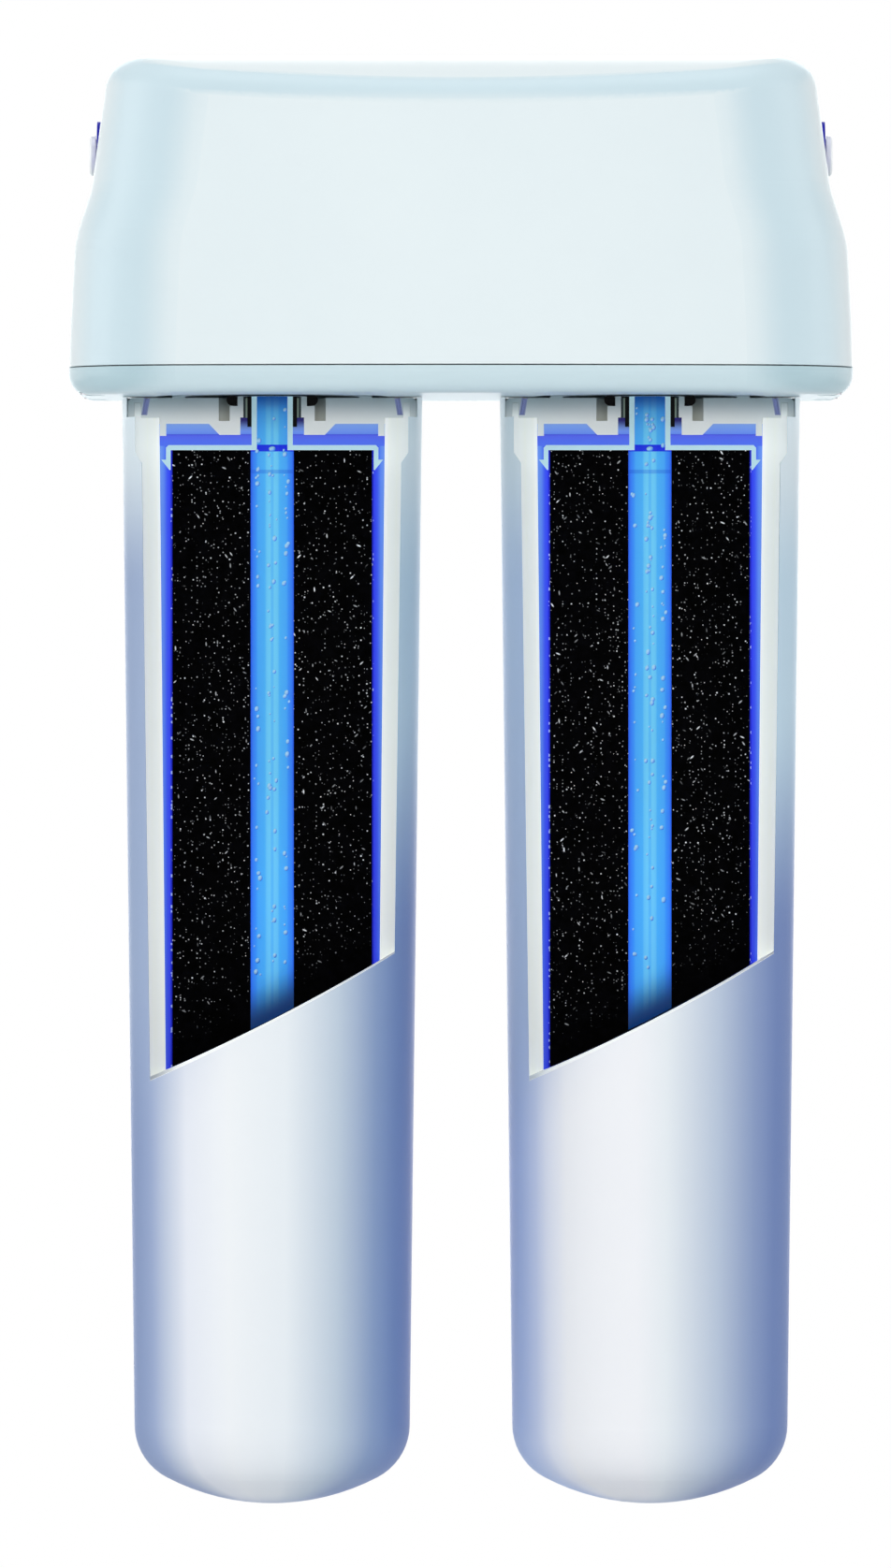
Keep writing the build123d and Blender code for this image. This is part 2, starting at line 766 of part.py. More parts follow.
def cup(x, top_radius, top, bottom_radius, bottom, sphere_radius, corner_radius):
    """Solid of a drawn cup: a tapered side, a round knuckle and a crowned floor."""
    corner_drop = sphere_radius - (sphere_radius**2 - bottom_radius**2) ** 0.5
    middle_drop = sphere_radius - (sphere_radius**2 - (bottom_radius / 2) ** 2) ** 0.5
    with BuildPart() as solid:
        with BuildSketch(cartridge_section(x)) as profile:
            with BuildLine():
                Polyline((0, bottom), (0, top), (top_radius, top), (bottom_radius, bottom + corner_drop))
                ThreePointArc(
                    (bottom_radius, bottom + corner_drop),
                    (bottom_radius / 2, bottom + middle_drop),
                    (0, bottom),
                )
            make_face()
            corner = profile.vertices().sort_by(Axis.X)[-2:].sort_by(Axis.Z)[0]
            fillet(corner, corner_radius)
        revolve(axis=cartridge_spin(x))
    return solid.part


def make_cartridge(side_name, side):
    x = side * half_pitch
    cutter = window_cut(x, window_margin, 0)
    sleeve_cutter = window_cut(x, -sleeve_side_trim, sleeve_edge_trim)
    sleeve_bottom = -cartridge_length
    vessel_bottom = sleeve_bottom + sleeve_wall + seat_gap
    floor_sphere = crown_sphere_radius - vessel_floor
    foot_rise = floor_sphere - (floor_sphere**2 - foot_ring_radius**2) ** 0.5
    foot_bottom = vessel_bottom + vessel_floor + foot_rise + seat_gap
    bore = cup(
        x,
        vessel_bore,
        0,
        vessel_bore - vessel_bore_loss,
        vessel_bottom + vessel_floor,
        floor_sphere,
        vessel_knuckle_radius - vessel_wall / 2,
    )

    with BuildPart() as sleeve:
        add(
            cup(
                x,
                sleeve_radius,
                -seat_gap,
                seat_radius,
                sleeve_bottom,
                crown_sphere_radius,
                knuckle_radius,
            )
        )
        add(
            cup(
                x,
                sleeve_bore,
                -seat_gap,
                seat_radius - sleeve_wall,
                sleeve_bottom + sleeve_wall,
                crown_sphere_radius - sleeve_wall,
                knuckle_radius - sleeve_wall,
            ),
            mode=Mode.SUBTRACT,
        )
        add(sleeve_cutter, mode=Mode.SUBTRACT)
    save(sleeve, f"{side_name}_sleeve")

    with BuildPart() as cap:
        groove_floor = neck_radius - neck_ring_groove
        groove_half = neck_ring_cord / 2 + neck_ring_clearance
        turned(x, [
            (neck_bore, neck_height),
            (neck_radius, neck_height),
            (neck_radius, upper_ring_height + groove_half),
            (groove_floor, upper_ring_height + groove_half),
            (groove_floor, upper_ring_height - groove_half),
            (neck_radius, upper_ring_height - groove_half),
            (neck_radius, groove_half - lower_ring_drop),
            (groove_floor, groove_half - lower_ring_drop),
            (groove_floor, -groove_half - lower_ring_drop),
            (neck_radius, -groove_half - lower_ring_drop),
            (neck_radius, -moat_bottom),
            (moat_radius, -moat_bottom),
            (moat_radius, -seat_gap),
            (collar_bore, -seat_gap),
            (collar_bore, collar_height),
            (collar_radius, collar_height),
            (collar_radius, -seat_gap),
            (slot_radius, -seat_gap),
            (slot_radius + slot_lean, -slot_bottom),
            (slot_radius + slot_lean + slot_width, -slot_bottom),
            (slot_radius + slot_width, -seat_gap),
            (cap_radius - cap_corner, -seat_gap),
            (cap_radius, -seat_gap - cap_corner),
            (cap_radius, -vessel_shelf_drop),
            (cap_radius - cap_skirt_wall, -vessel_shelf_drop),
            (cap_radius - cap_skirt_wall, -vessel_rim_drop + slip_gap),
            (rim_bore - slip_gap, -vessel_rim_drop + slip_gap),
            (rim_bore - slip_gap, -vessel_shelf_drop),
            (plug_radius, -vessel_shelf_drop),
            (plug_radius, -cap_plug_bottom),
            (plug_radius - cap_plug_wall, -cap_plug_bottom),
            (plug_radius - cap_plug_wall, -cap_recess_drop),
            (cap_recess_radius, -cap_recess_drop),
            (cap_boss_radius, -cap_boss_bottom),
            (cap_boss_bore, -cap_boss_bottom),
            (cap_boss_bore, -cap_boss_notch),
            (neck_bore, -cap_boss_notch),
        ])
        lug_start = lug_height - lug_angle / 2 * lock_rise_per_degree + lug_thickness / 2
        lug_foot = collar_radius - lug_overlap
        lug = helical_bar(x, lug_start, lug_angle, lug_foot, lug_tip_radius, lug_thickness)
        for middle in lug_directions():
            add(lug.rotate(cartridge_spin(x), middle - lug_angle / 2))
        with BuildSketch(Plane((x, axis_y, level(key_slot_bottom)))) as slots:
            for middle in lug_directions():
                with Locations(Rotation(0, 0, middle)):
                    with Locations((key_radius + key_gap - key_depth, 0)):
                        Rectangle(key_depth * 2, key_width + key_gap * 2)
        extrude(slots.sketch, amount=collar_height, mode=Mode.SUBTRACT)
        add(cutter, mode=Mode.SUBTRACT)
    save(cap, f"{side_name}_cap")

    with BuildPart() as neck_rings:
        for height in (upper_ring_height, -lower_ring_drop):
            plane = Plane((x, axis_y, level(height)))
            ring(plane, groove_floor + neck_ring_cord / 2, neck_ring_cord)
        add(cutter, mode=Mode.SUBTRACT)
    save(neck_rings, f"{side_name}_neck_rings")

    with BuildPart() as neck_seal:
        turned(x, [
            (tube_radius, -seal_bottom),
            (seal_radius, -seal_bottom),
            (seal_radius, seal_height),
            (tube_radius, seal_height),
        ])
        add(cutter, mode=Mode.SUBTRACT)
    save(neck_seal, f"{side_name}_neck_seal")

    plate_top = end_plate - block_top
    barb_root = barb_height - end_skirt_bottom
    with BuildPart() as end_cap:
        turned(x, [
            (tube_bore, -block_top),
            (end_skirt_bore, -block_top),
            (end_skirt_bore, -end_skirt_bottom),
            (end_skirt_bore + barb_tip, -end_skirt_bottom),
            (end_cap_radius + barb_reach, barb_root),
            (end_cap_radius, barb_root),
            (end_cap_radius, plate_top - end_plate / 2),
            (end_cap_radius - end_plate / 2, plate_top),
            (tube_radius, plate_top),
            (tube_radius, tube_height),
            (tube_bore, tube_height),
        ])
        add(cutter, mode=Mode.SUBTRACT)
    save(end_cap, f"{side_name}_top_end_cap")

    with BuildPart() as block:
        turned(x, [
            (block_bore, -block_bottom),
            (block_radius, -block_bottom),
            (block_radius, -block_top),
            (block_bore, -block_top),
        ])
        add(cutter, mode=Mode.SUBTRACT)
    save(block, f"{side_name}_carbon_block")

    with BuildPart() as wrap:
        turned(x, [
            (block_radius, -block_bottom),
            (wrap_radius, -block_bottom),
            (wrap_radius, -block_top),
            (block_radius, -block_top),
        ])
        add(cutter, mode=Mode.SUBTRACT)
    save(wrap, f"{side_name}_block_net")

    with BuildPart() as foot:
        turned(x, [
            (0, -block_bottom + foot_spigot),
            (block_bore - slip_gap, -block_bottom + foot_spigot),
            (block_bore - slip_gap, -block_bottom),
            (block_radius, -block_bottom),
            (block_radius, -block_bottom - foot_plate),
            (foot_ring_radius, -block_bottom - foot_plate),
            (foot_ring_radius, foot_bottom),
            (foot_ring_radius - foot_ring_wall, foot_bottom),
            (foot_ring_radius - foot_ring_wall, -block_bottom - foot_plate),
            (0, -block_bottom - foot_plate),
        ])
    save(foot, f"{side_name}_bottom_end_cap")

    shoulder_radius = vessel_radius - vessel_wall / 2
    shoulder_bottom = -vessel_collar_bottom - vessel_collar_chamfer - vessel_wall / 2
    with BuildPart() as vessel:
        add(
            cup(
                x,
                vessel_radius,
                -vessel_shelf_drop,
                vessel_radius - vessel_radius_loss,
                vessel_bottom,
                crown_sphere_radius,
                vessel_knuckle_radius,
            )
        )
        turned(x, [
            (0, -vessel_rim_drop),
            (collar_step_radius, -vessel_rim_drop),
            (collar_step_radius, -vessel_collar_bottom),
            (shoulder_radius, shoulder_bottom),
            (0, shoulder_bottom),
        ])
        add(bore, mode=Mode.SUBTRACT)
        cylinder_at(x, axis_y, -vessel_shelf_drop, 0, rim_bore, Mode.SUBTRACT)
        add(cutter, mode=Mode.SUBTRACT)
    save(vessel, f"{side_name}_vessel")

    with BuildPart() as water_core:
        turned(x, [
            (0, -block_bottom + foot_spigot),
            (block_bore, -block_bottom + foot_spigot),
            (block_bore, -block_top),
            (tube_bore, -block_top),
            (tube_bore, neck_height),
            (0, neck_height),
        ])
        add(cutter, mode=Mode.SUBTRACT)
    save(water_core, f"{side_name}_water_core")

    with BuildPart() as water_jacket:
        add(bore)
        cylinder_at(x, axis_y, -cap_recess_drop, overrun, vessel_radius, Mode.SUBTRACT)
        foot_bottom_face = -block_bottom - foot_plate
        cylinder_at(x, axis_y, vessel_bottom - overrun, foot_bottom_face, vessel_radius, Mode.SUBTRACT)
        cylinder_at(x, axis_y, -cap_boss_bottom, -seat_gap, cap_boss_bore)
        for piece in (cap, end_cap, neck_seal, foot, block, wrap, water_core):
            add(piece.part, mode=Mode.SUBTRACT)
        add(cutter, mode=Mode.SUBTRACT)
    save(water_jacket, f"{side_name}_water_jacket")


os.makedirs("parts", exist_ok=True)
make_head_cover()
make_head_base()
make_back_plate()
make_crossover()
make_screws()
for side_name, side in side_ports.items():
    make_valve_body(f"{side_name}_valve_body", side, side_name == "left")
    make_rotor(side_name, side)
    make_port(port_names[side_name], side)
    make_cartridge(side_name, side)
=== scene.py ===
import math
import random

import bmesh
import bpy
from mathutils import Matrix, Vector


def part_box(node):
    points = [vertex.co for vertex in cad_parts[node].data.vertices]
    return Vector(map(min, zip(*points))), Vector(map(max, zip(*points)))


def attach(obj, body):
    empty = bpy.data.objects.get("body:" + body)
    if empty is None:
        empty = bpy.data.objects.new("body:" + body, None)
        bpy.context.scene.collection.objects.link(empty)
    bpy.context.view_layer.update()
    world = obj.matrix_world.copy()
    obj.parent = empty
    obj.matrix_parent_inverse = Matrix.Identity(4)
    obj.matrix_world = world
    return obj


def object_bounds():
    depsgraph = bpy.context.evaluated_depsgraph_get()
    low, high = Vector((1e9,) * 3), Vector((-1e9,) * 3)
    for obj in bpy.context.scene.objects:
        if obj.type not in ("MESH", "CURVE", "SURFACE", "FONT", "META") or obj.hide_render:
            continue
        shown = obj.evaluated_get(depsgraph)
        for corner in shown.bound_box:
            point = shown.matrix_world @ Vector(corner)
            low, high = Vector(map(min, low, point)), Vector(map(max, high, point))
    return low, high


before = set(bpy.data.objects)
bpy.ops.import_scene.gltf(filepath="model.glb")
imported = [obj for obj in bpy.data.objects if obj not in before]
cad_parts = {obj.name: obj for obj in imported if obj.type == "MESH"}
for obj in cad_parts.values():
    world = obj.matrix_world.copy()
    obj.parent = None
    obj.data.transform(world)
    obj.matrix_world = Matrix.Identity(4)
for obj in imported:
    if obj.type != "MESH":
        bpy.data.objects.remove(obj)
cad_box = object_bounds()

# Lengths are metres, as in the frame. Small ones are written in millimetres times MM.
MM = 0.001
SIDES = ("left", "right")
PORTS = ("inlet", "outlet")


# Places

def middle(node):
    """Middle of a CAD node's box."""
    low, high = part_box(node)
    return (low + high) / 2


def half_width(node):
    """Half of a CAD node's width, which is the radius of a round node."""
    low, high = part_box(node)
    return (high.x - low.x) / 2


def below_head(millimetres):
    """Height of a place this far below the head's underside."""
    return HEAD_LOW - millimetres * MM


def circle_through(first, second, third):
    """Middle and radius of the circle through three points of a plane."""
    (ax, ay), (bx, by), (cx, cy) = first, second, third
    turn = 2 * (ax * (by - cy) + bx * (cy - ay) + cx * (ay - by))
    a, b, c = ax * ax + ay * ay, bx * bx + by * by, cx * cx + cy * cy
    x = (a * (by - cy) + b * (cy - ay) + c * (ay - by)) / turn
    y = (a * (cx - bx) + b * (ax - cx) + c * (bx - ax)) / turn
    return x, y, math.hypot(ax - x, ay - y)


# Read from the frame
HEAD_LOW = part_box("head_base")[0].z
HEAD_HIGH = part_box("head_cover")[1].z
SLEEVE_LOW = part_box("left_sleeve")[0].z
CUT_Y = middle("left_bottom_end_cap").y
AXIS_X = {side: middle(f"{side}_sleeve").x for side in SIDES}
CORE_RADIUS = half_width("left_water_core")
BLOCK_RADIUS = half_width("left_carbon_block")
JACKET_RADIUS = half_width("left_water_jacket")

# The cut vessel's wall, and how much its radius shrinks for each metre further down
VESSEL_WALL = 4.15 * MM
VESSEL_TAPER = 0.0132
# The window's slanted edge on the sleeve, as three points: distance from the axis, drop
EDGE_LEFT = (-28.47 * MM, 160.7 * MM)
EDGE_MIDDLE = (0, 147.0 * MM)
EDGE_RIGHT = (28.86 * MM, 130.8 * MM)
# Half the width of the painted highlight line along that edge, and the edge's mean slope
EDGE_HIGHLIGHT = 0.11 * MM
EDGE_SLOPE = (EDGE_LEFT[1] - EDGE_RIGHT[1]) / (EDGE_RIGHT[0] - EDGE_LEFT[0])
# The slanted seal strip in each cap's groove
SEAM_RADIUS = 29.0 * MM
SEAM_WIDTH = 0.8 * MM
SEAM_LEAN = 0.7 * MM
SEAM_DROP = 4.15 * MM
# Inner and outer radius of the groove in each cap's top, and of the gap round its neck seal
MOAT = (9.9 * MM, 12.75 * MM)
NECK_PASSAGE = (5.85 * MM, 6.8 * MM)
# The notch under the neck seal, where the water gets painted shade: its radius, and its top, where the
# gap round the seal begins
NOTCH_RADIUS = 7.6 * MM
NOTCH_DROP = 4.95 * MM
# Heights of the faint ring and of the dark band on the water in each middle bore
RING = (below_head(18.1), below_head(17.2))
BAND = (below_head(12.9), below_head(11.3))


# Colours and node trees

def srgb(red, green, blue):
    """Linear colour of a screen colour given from 0 to 255."""
    def linear(value):
        share = value / 255
        return share / 12.92 if share <= 0.04045 else ((share + 0.055) / 1.055) ** 2.4

    return (linear(red), linear(green), linear(blue), 1)


WHITE = (1, 1, 1, 1)
# Usual colour of a painted glow
PAINTED_GLOW_CREAM = srgb(250, 250, 236)
COAT_ROUGHNESS = 0.12
# Sockets of a Mix node that mixes colours: its two colours, and its result
MIX_FIRST, MIX_SECOND, MIX_RESULT = 6, 7, 2
# Saw marks: their slant, and how thin they are across it
MARKS_ANGLE = 0.35
MARKS_STRETCH = (1, 1, 0.06)

# Sleeve colours with painted highlight and shade, from its left flank, 0, round its front, 0.5, to its
# right flank, 1.
# Each sleeve's flank towards the other one gets less light, so a paler colour is painted there.
SLEEVE_PAINTED_SHADING = {
    "left": [
        (0.0, srgb(122, 146, 194)),
        (0.02, srgb(130, 152, 196)),
        (0.075, srgb(158, 175, 210)),
        (0.13, srgb(200, 210, 228)),
        (0.20, srgb(240, 243, 249)),
        (0.35, srgb(253, 255, 255)),
        (0.553, srgb(244, 249, 251)),
        (0.735, srgb(202, 216, 229)),
        (0.864, srgb(148, 170, 207)),
        (0.94, srgb(127, 152, 201)),
        (1.0, srgb(112, 139, 199)),
    ],
    "right": [
        (0.0, srgb(181, 204, 247)),
        (0.03, srgb(191, 211, 249)),
        (0.09, srgb(217, 227, 250)),
        (0.13, srgb(241, 245, 255)),
        (0.20, srgb(255, 255, 255)),
        (0.45, srgb(254, 254, 255)),
        (0.553, srgb(242, 247, 249)),
        (0.735, srgb(193, 206, 224)),
        (0.864, srgb(139, 158, 198)),
        (0.94, srgb(108, 132, 186)),
        (1.0, srgb(97, 125, 184)),
    ],
}
# Painted highlight and shade of the sleeve's upper part, across it in the same way
UPPER_SLEEVE_PAINTED_SHADING = [
    (0.0, srgb(148, 170, 206)),
    (0.5, srgb(236, 241, 246)),
    (1.0, srgb(190, 217, 232)),
]
# The sleeve's paler upper part of painted shading ends lower on its left than on its right
SHADE_SLOPE = 0.88
# How much painted light makes its left flank paler up there, for each cartridge, in place of light the
# other cartridge blocks
LEFT_EDGE_PAINTED_LIGHT = {"left": 0.0, "right": 0.85}


class Surface:
    """A material's nodes, laid with short calls."""

    def __init__(self, name, roughness, coat=0.0, specular=0.5):
        self.material = bpy.data.materials.new(name)
        self.material.use_nodes = True
        self.tree = self.material.node_tree
        self.shader = self.tree.nodes["Principled BSDF"]
        self.shader.inputs["Roughness"].default_value = roughness
        self.shader.inputs["Coat Weight"].default_value = coat
        self.shader.inputs["Coat Roughness"].default_value = COAT_ROUGHNESS
        self.shader.inputs["Specular IOR Level"].default_value = specular
        self.place = self.node("ShaderNodeTexCoord").outputs["Object"]
        split = self.node("ShaderNodeSeparateXYZ", Vector=self.place)
        self.x, self.y, self.z = split.outputs

    def node(self, kind, **inputs):
        """A new node. An underscore in an input's name stands for a space."""
        made = self.tree.nodes.new(kind)
        for name, value in inputs.items():
            self.feed(made.inputs[name.replace("_", " ")], value)
        return made

    def feed(self, socket, value):
        """Link another node's output to a socket, or else set the socket's own value."""
        if isinstance(value, bpy.types.NodeSocket):
            self.tree.links.new(value, socket)
        else:
            socket.default_value = value

    def math(self, operation, *values):
        """Result of a Math node."""
        made = self.node("ShaderNodeMath")
        made.operation = operation
        for socket, value in zip(made.inputs, values):
            self.feed(socket, value)
        return made.outputs[0]

    def times(self, product, *others):
        """Product of two or more values."""
        for value in others:
            product = self.math("MULTIPLY", product, value)
        return product

    def span(self, value, low, high):
        """0 at low, 1 at high, and held beyond them."""
        made = self.node("ShaderNodeMapRange", Value=value)
        made.inputs["From Min"].default_value = low
        made.inputs["From Max"].default_value = high
        made.interpolation_type = "SMOOTHSTEP"
        return made.outputs[0]

    def within(self, value, low, high):
        """1 between low and high, otherwise 0."""
        return self.times(self.math("GREATER_THAN", value, low),
                          self.math("LESS_THAN", value, high))

    def length(self, first, second):
        """Length of the hypotenuse over two values."""
        squares = [self.times(value, value) for value in (first, second)]
        return self.math("SQRT", self.math("ADD", *squares))

    def across(self, side):
        """Distance to the right of a cartridge's axis."""
        return self.math("SUBTRACT", self.x, AXIS_X[side])

    def depth(self):
        """Distance behind the cut face."""
        return self.math("SUBTRACT", self.y, CUT_Y)

    def drop(self):
        """Distance below the head's underside."""
        return self.math("SUBTRACT", HEAD_LOW, self.z)

    def above_edge(self, side):
        """Height above the window's slanted edge."""
        line = self.math("MULTIPLY_ADD", self.across(side), -EDGE_SLOPE,
                         EDGE_MIDDLE[1] - HEAD_LOW)
        return self.math("ADD", self.z, line)

    def facing(self):
        """Parts of the face's normal along X, Y and Z."""
        normal = self.node("ShaderNodeNewGeometry").outputs["Normal"]
        return self.node("ShaderNodeSeparateXYZ", Vector=normal).outputs

    def ramp(self, value, stops):
        """Colour by value: stops are (place from 0 to 1, colour)."""
        made = self.node("ShaderNodeValToRGB", Fac=value)
        elements = made.color_ramp.elements
        while len(elements) < len(stops):
            elements.new(0.5)
        for element, (place, colour) in zip(elements, stops):
            element.position = place
            element.color = colour
        return made.outputs["Color"]

    def mix(self, share, first, second):
        """First colour where the share is 0, second where it is 1."""
        made = self.node("ShaderNodeMix")
        made.data_type = "RGBA"
        self.feed(made.inputs["Factor"], share)
        self.feed(made.inputs[MIX_FIRST], first)
        self.feed(made.inputs[MIX_SECOND], second)
        return made.outputs[MIX_RESULT]

    def layered(self, ground, *coats):
        """Colours laid over a ground: coats are (share, colour), the last one on top."""
        for share, colour in coats:
            ground = self.mix(share, ground, colour)
        return ground

    def noise(self, scale, detail, vector=None):
        """Cloudy value from 0 to 1."""
        made = self.node("ShaderNodeTexNoise", Vector=vector or self.place)
        made.inputs["Scale"].default_value = scale
        made.inputs["Detail"].default_value = detail
        return made.outputs["Fac"]

    def cells(self, scale, vector=None):
        """Distance from, and a random value of, the nearest cell's middle."""
        made = self.node("ShaderNodeTexVoronoi", Vector=vector or self.place)
        made.inputs["Scale"].default_value = scale
        chance = self.node("ShaderNodeSeparateColor", Color=made.outputs["Color"])
        return made.outputs["Distance"], chance.outputs[0]

    def turned(self, angle, stretch):
        """The place turned about Y, with its three parts stretched."""
        made = self.node("ShaderNodeMapping", Vector=self.place)
        made.vector_type = "TEXTURE"
        made.inputs["Rotation"].default_value = (0, angle, 0)
        made.inputs["Scale"].default_value = stretch
        return made.outputs[0]

    def saw_marks(self, scale):
        """Faint slanted marks of a saw."""
        return self.noise(scale, 2, self.turned(MARKS_ANGLE, MARKS_STRETCH))

    def colour(self, value):
        """Give the shader its colour."""
        self.feed(self.shader.inputs["Base Color"], value)

    def roughness(self, value, low, high):
        """Roughness from low, where a value is 0, to high, where it is 1."""
        made = self.node("ShaderNodeMapRange", Value=value)
        made.inputs["To Min"].default_value = low
        made.inputs["To Max"].default_value = high
        self.feed(self.shader.inputs["Roughness"], made.outputs[0])

    def bump(self, height, distance, strength=0.5):
        """Relief too fine for geometry."""
        made = self.node("ShaderNodeBump", Height=height)
        made.inputs["Distance"].default_value = distance
        made.inputs["Strength"].default_value = strength
        self.feed(self.shader.inputs["Normal"], made.outputs[0])

    def painted_glow(self, level, colour=PAINTED_GLOW_CREAM):
        """A little painted glow from the face itself, which stands in for light and is no lamp."""
        self.shader.inputs["Emission Color"].default_value = colour
        self.feed(self.shader.inputs["Emission Strength"], level)


# Materials

def moulded(name, colour, roughness, coat=0.0, grain=900, tint=0.04, specular=0.5):
    """Moulded plastic: a faint cloud in its colour and a fine grain in its face."""
    surface = Surface(name, roughness, coat, specular)
    dark = tuple(c * (1 - tint) for c in colour[:3]) + (1,)
    surface.colour(surface.mix(surface.noise(35, 3), colour, dark))
    fine = surface.noise(grain, 3)
    surface.roughness(fine, roughness - 0.05, roughness + 0.06)
    surface.bump(fine, 0.02 * MM)
    return surface.material


def head_material(name, colour, dark, turned):
    """Head plastic: pale ice white, with painted shade, bluer, where it turns at its corners and its top
    edge.
    """
    surface = Surface(name, 0.4, coat=0.05, specular=0.35)
    to_side, _, to_top = surface.facing()
    # Painted shade: how much of the bluer colour, by the face's direction, at the side corners and, near
    # the top, at the top edge
    sideways = surface.math("ABSOLUTE", to_side)
    corner = surface.times(surface.span(sideways, 0.10, 0.50), surface.span(sideways, 1.0, 0.78))
    edge = surface.times(surface.span(to_top, 0.10, 0.28), surface.span(to_top, 0.90, 0.80),
                         surface.span(sideways, 0.80, 0.45))
    crown = surface.span(surface.z, HEAD_HIGH - 13 * MM, HEAD_HIGH - 8 * MM)
    turn = surface.math("MAXIMUM", corner, surface.times(edge, crown))
    cloud = surface.mix(surface.noise(26, 3), colour, dark)
    surface.colour(surface.mix(surface.times(turn, 0.85), cloud, turned))
    fine = surface.noise(700, 3)
    surface.roughness(fine, 0.36, 0.44)
    surface.bump(fine, 0.002 * MM, 0.3)
    return surface.material


def edge_highlight(surface, across, depth):
    """1 along the rim of the window's slanted edge, where a highlight is painted, otherwise 0."""
    middle_x, middle_drop, radius = circle_through(EDGE_LEFT, EDGE_MIDDLE, EDGE_RIGHT)
    reach = surface.length(surface.math("SUBTRACT", across, middle_x),
                           surface.math("ADD", surface.z, middle_drop - HEAD_LOW))
    return surface.times(surface.within(reach, radius - EDGE_HIGHLIGHT, radius + EDGE_HIGHLIGHT),
                         surface.within(across, EDGE_LEFT[0], EDGE_RIGHT[0]),
                         surface.math("LESS_THAN", depth, 0))


def sleeve_material(side):
    """Pearl sleeve with painted light and shade: a painted highlight in front, painted shade of lavender
    blue round the sides and back, and a painted reflection, paler, towards the head.
    """
    surface = Surface(f"{side}_sleeve_pearl", 0.42, specular=0.15)
    across, depth = surface.across(side), surface.depth()
    from_axis = surface.length(across, depth)
    share = surface.math("MULTIPLY_ADD", surface.math("DIVIDE", across, from_axis), 0.5, 0.5)
    slanted = surface.math("MULTIPLY_ADD", across, -SHADE_SLOPE, surface.z)
    rise = surface.span(slanted, below_head(156), below_head(98))
    painted_lift = surface.times(surface.span(share, 0.16, 0.0), LEFT_EDGE_PAINTED_LIGHT[side], rise)
    slow_rise = surface.span(surface.z, below_head(210), below_head(20))
    back = surface.mix(slow_rise, srgb(148, 167, 209), srgb(204, 218, 234))
    round_bottom = surface.span(from_axis, 18 * MM, 2 * MM)
    painted_shading_under_head = surface.span(surface.z, below_head(46), below_head(10))
    cloud = surface.times(surface.noise(18, 3), 0.06)
    # Painted light and shade: highlight in front, shade round the flanks and back, a mid tone near the
    # bottom's pole, a paler painted reflection under the head
    surface.colour(surface.layered(
        surface.ramp(share, SLEEVE_PAINTED_SHADING[side]),
        (rise, surface.ramp(share, UPPER_SLEEVE_PAINTED_SHADING)),
        (painted_lift, srgb(210, 230, 255)),
        (surface.span(depth, 0, 28 * MM), back),
        (round_bottom, srgb(196, 208, 229)),
        (painted_shading_under_head, srgb(229, 241, 245)),
        (cloud, srgb(170, 184, 216)),
        (edge_highlight(surface, across, depth), srgb(248, 251, 253)),
    ))
    fine = surface.noise(1100, 3)
    surface.roughness(fine, 0.36, 0.48)
    surface.bump(fine, 0.01 * MM, 0.4)
    return surface.material


def vessel_material(side):
    """Cut vessel wall: cream, with a painted highlight, a white line, along its inner edge, painted
    shade under the head, and a painted glow that grows lower down.
    """
    surface = Surface(f"{side}_vessel_cream", 0.55, specular=0.3)
    drop = surface.drop()
    across = surface.math("ABSOLUTE", surface.across(side))
    upright = surface.math("MULTIPLY_ADD", drop, VESSEL_TAPER, across)
    share = surface.span(upright, JACKET_RADIUS - 0.3 * MM, JACKET_RADIUS + VESSEL_WALL)
    # Painted highlight: whiter at the inner and the outer edge of the cut wall
    wall = surface.ramp(share, [
        (0.0, srgb(252, 255, 255)),
        (0.10, srgb(252, 255, 255)),
        (0.22, srgb(244, 247, 236)),
        (0.55, srgb(242, 247, 246)),
        (0.85, srgb(244, 247, 236)),
        (1.0, srgb(250, 254, 252)),
    ])
    marks = surface.saw_marks(240)
    # Painted shade under the head
    painted_shading_under_head = surface.span(drop, 6.0 * MM, 0.5 * MM)
    surface.colour(surface.layered(
        wall,
        (surface.times(marks, 0.12), srgb(222, 229, 227)),
        (painted_shading_under_head, srgb(158, 174, 180)),
    ))
    # Painted glow, stronger lower down and less under the head
    low_down = surface.span(drop, 20 * MM, 130 * MM)
    glow = surface.math("MULTIPLY_ADD", low_down, 0.07, 0.17)
    surface.painted_glow(surface.math("MULTIPLY_ADD", painted_shading_under_head, -0.15, glow))
    surface.roughness(marks, 0.48, 0.62)
    surface.bump(marks, 0.01 * MM, 0.3)
    return surface.material


def section(name, colour, edge):
    """A cut plastic wall: satin face with faint saw marks. Gives its surface and colour."""
    surface = Surface(name, 0.5, specular=0.3)
    marks = surface.saw_marks(260)
    surface.roughness(marks, 0.42, 0.6)
    surface.bump(marks, 0.02 * MM, 0.35)
    return surface, surface.mix(surface.times(marks, 0.3), colour, edge)


def ice_material():
    """Cut end caps: ice blue."""
    surface, wall = section("end_cap_ice", srgb(196, 236, 244), srgb(226, 248, 255))
    surface.colour(wall)
    return surface.material


